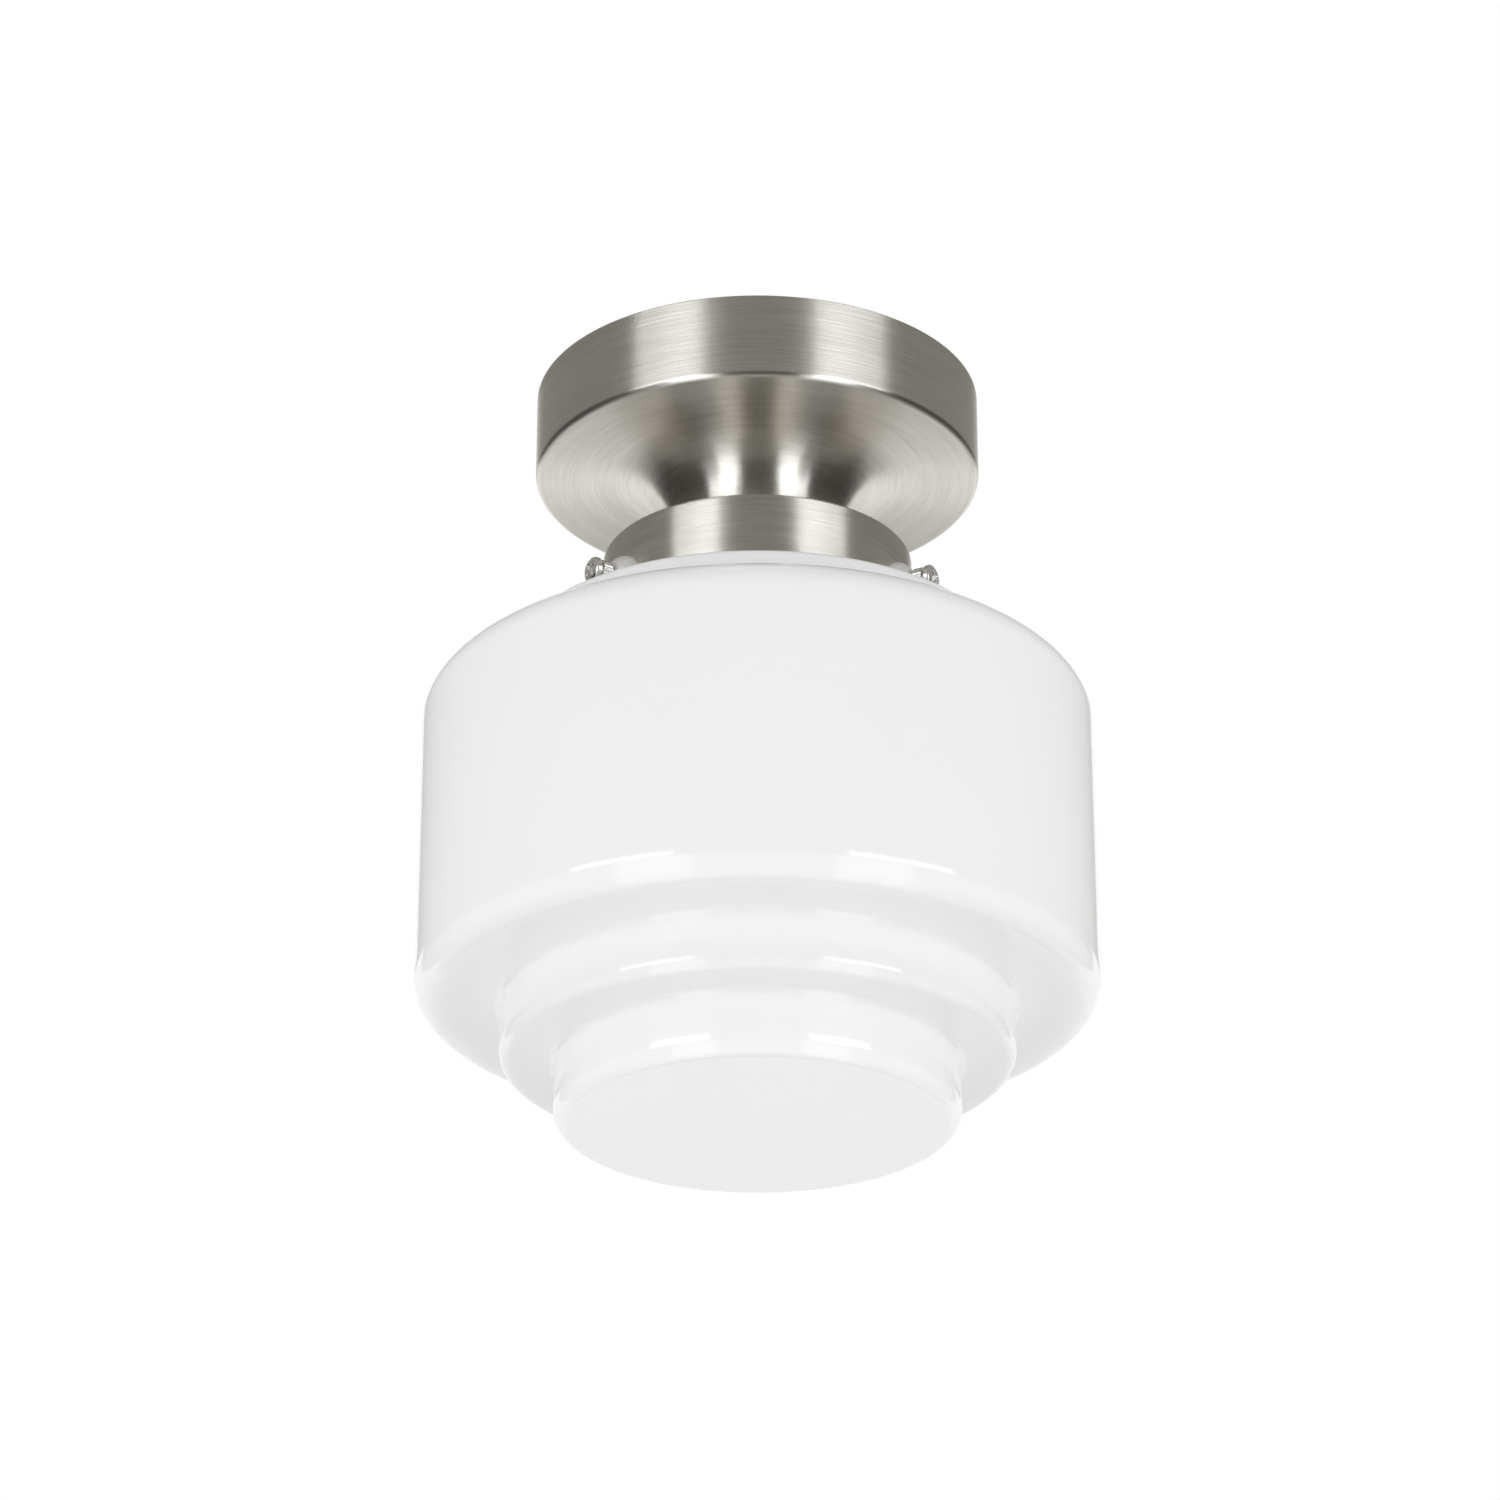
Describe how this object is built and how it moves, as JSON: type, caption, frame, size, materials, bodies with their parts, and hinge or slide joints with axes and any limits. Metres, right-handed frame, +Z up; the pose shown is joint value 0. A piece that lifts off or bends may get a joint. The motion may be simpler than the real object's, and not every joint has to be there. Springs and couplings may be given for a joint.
{
  "type": "ceiling light",
  "caption": "Semi-flush ceiling light: a spun metal canopy and gallery hold a stepped opal glass drum shade by thumb screws, round a screw-in bulb.",
  "frame": {"origin": "centre of the bracket's two slots, in the ceiling plane, on the lamp's axis", "axes": "+Z up into the ceiling along the lamp's axis, +X along the bracket's slots, +Y to the rear thumb screw"},
  "size_m": [0.2, 0.2, 0.2365],
  "materials": {
    "brushed_nickel": "spun, brushed round the axis, satin nickel",
    "nickel_plate": "bright nickel plate",
    "zinc_steel": "pressed steel, zinc plated",
    "brass": "plain turned and pressed brass",
    "opal_glass": "blown opal glass, glossy, opaque white",
    "white_polyamide": "moulded, satin",
    "holder_plastic": "moulded phenolic, satin black",
    "steatite": "unglazed lampholder ceramic",
    "live_insulation": "brown insulation",
    "neutral_insulation": "blue insulation",
    "tip_nylon": "natural nylon",
    "bulb_white": "white moulded housing",
    "bulb_diffuser": "frosted diffuser",
    "cap_metal": "rolled cap, nickel plated",
    "black_insulator": "black insulator"
  },
  "bodies": {
    "fixture": {"mounting_bracket": "zinc_steel", "bracket_nuts": "zinc_steel", "threaded_tube": "zinc_steel", "earth_screw": "brass", "earth_washer": "brass", "terminal_block": "white_polyamide", "terminal_sleeves": "brass", "terminal_screws": "zinc_steel", "block_screw": "zinc_steel", "lead_live": "live_insulation", "lead_neutral": "neutral_insulation", "canopy": "brushed_nickel", "gallery": "brushed_nickel", "gallery_bushes": "nickel_plate", "toothed_washer": "zinc_steel", "gallery_nut": "zinc_steel", "lampholder_cap": "holder_plastic", "grub_screw": "zinc_steel", "lampholder_core": "steatite", "lampholder_skirt": "holder_plastic", "socket_shell": "brass", "live_contact": "brass", "neutral_contact": "brass", "contact_screws": "zinc_steel"},
    "shade": {"glass_shade": "opal_glass"},
    "bulb_base": {"bulb_pip": "brass", "bulb_insulator": "black_insulator"},
    "bulb": {"bulb_cap": "cap_metal", "bulb_housing": "bulb_white", "bulb_globe": "bulb_diffuser"},
    "tip_1": {"screw_tip_1": "tip_nylon"},
    "screw_1": {"thumb_screw_1": "nickel_plate"},
    "tip_2": {"screw_tip_2": "tip_nylon"},
    "screw_2": {"thumb_screw_2": "nickel_plate"},
    "tip_3": {"screw_tip_3": "tip_nylon"},
    "screw_3": {"thumb_screw_3": "nickel_plate"}
  },
  "joints": [
    {"name": "shade_drop", "type": "slide", "parent": "fixture", "child": "shade", "axis": [0, 0, -1], "range_m": [0, 0.02]},
    {"name": "bulb_turn", "type": "hinge", "parent": "bulb_base", "child": "bulb", "pos_m": [0, 0, -0.1], "axis": [0, 0, -1], "range_deg": [0, 2080]},
    {"name": "bulb_travel", "type": "slide", "parent": "fixture", "child": "bulb_base", "axis": [0, 0, -1], "range_m": [0, 0.021]},
    {"name": "screw_1_travel", "type": "slide", "parent": "fixture", "child": "tip_1", "axis": [0, 1, 0], "range_m": [0, 0.0071]},
    {"name": "screw_1_turn", "type": "hinge", "parent": "tip_1", "child": "screw_1", "pos_m": [0, 0.05, -0.0728], "axis": [0, 1, 0], "range_deg": [0, 3610]},
    {"name": "screw_2_travel", "type": "slide", "parent": "fixture", "child": "tip_2", "axis": [-0.866, -0.5, 0], "range_m": [0, 0.0071]},
    {"name": "screw_2_turn", "type": "hinge", "parent": "tip_2", "child": "screw_2", "pos_m": [-0.0433, -0.025, -0.0728], "axis": [-0.866, -0.5, 0], "range_deg": [0, 3610]},
    {"name": "screw_3_travel", "type": "slide", "parent": "fixture", "child": "tip_3", "axis": [0.866, -0.5, 0], "range_m": [0, 0.0071]},
    {"name": "screw_3_turn", "type": "hinge", "parent": "tip_3", "child": "screw_3", "pos_m": [0.0433, -0.025, -0.0728], "axis": [0.866, -0.5, 0], "range_deg": [0, 3610]}
  ],
  "couplings": [
    {"joint": "bulb_travel", "follows": "bulb_turn", "m_per_rad": 0.00057757},
    {"joint": "screw_1_travel", "follows": "shade_drop", "ratio": 0.35},
    {"joint": "screw_1_turn", "follows": "shade_drop", "rad_per_m": 3141.6},
    {"joint": "screw_2_travel", "follows": "shade_drop", "ratio": 0.35},
    {"joint": "screw_2_turn", "follows": "shade_drop", "rad_per_m": 3141.6},
    {"joint": "screw_3_travel", "follows": "shade_drop", "ratio": 0.35},
    {"joint": "screw_3_turn", "follows": "shade_drop", "rad_per_m": 3141.6}
  ]
}
